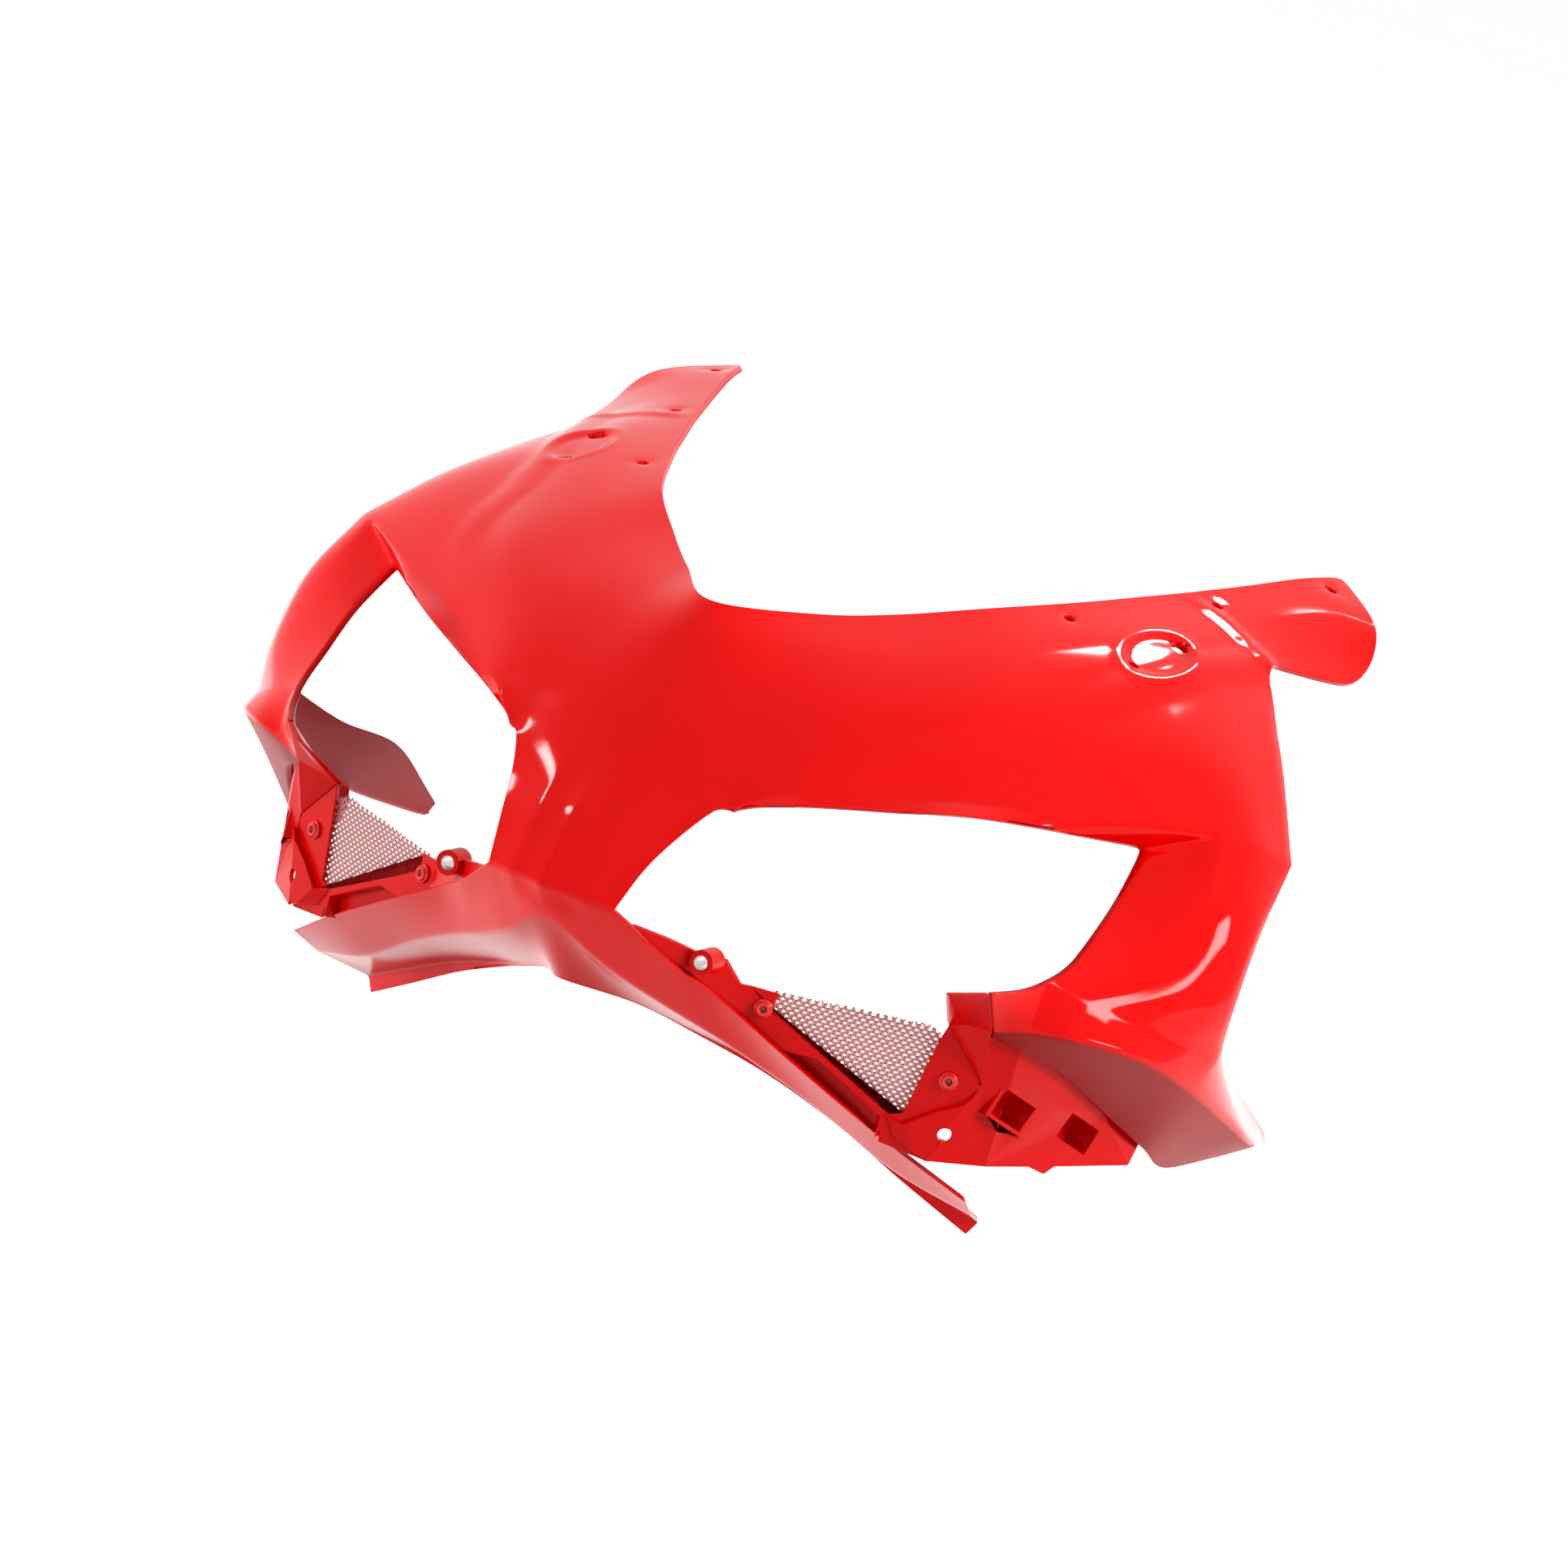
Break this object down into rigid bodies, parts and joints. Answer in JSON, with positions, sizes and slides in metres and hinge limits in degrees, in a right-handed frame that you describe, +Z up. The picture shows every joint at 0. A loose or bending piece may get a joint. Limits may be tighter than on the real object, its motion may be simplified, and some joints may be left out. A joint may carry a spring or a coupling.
{
  "type": "motorcycle fairing",
  "caption": "Upper front fairing of a sport motorcycle: a gloss moulded skin with two headlamp openings, a screen notch, and a folded duct panel with a mesh grille on each side.",
  "frame": {"origin": "midway between the two front eyelets, at half their length", "axes": "the nose points to -Y, +X is the rider's left, +Z is up"},
  "size_m": [0.528, 0.4552, 0.3161],
  "materials": {
    "gloss_red": "gloss paint on moulded plastic",
    "mesh_metal": "satin expanded mesh",
    "screw_red": "gloss"
  },
  "bodies": {
    "root": {"fairing_shell": "gloss_red", "duct_panel_left": "gloss_red", "duct_panel_right": "gloss_red", "mesh_left": "mesh_metal", "mesh_right": "mesh_metal", "mesh_screws": "screw_red"}
  },
  "joints": []
}
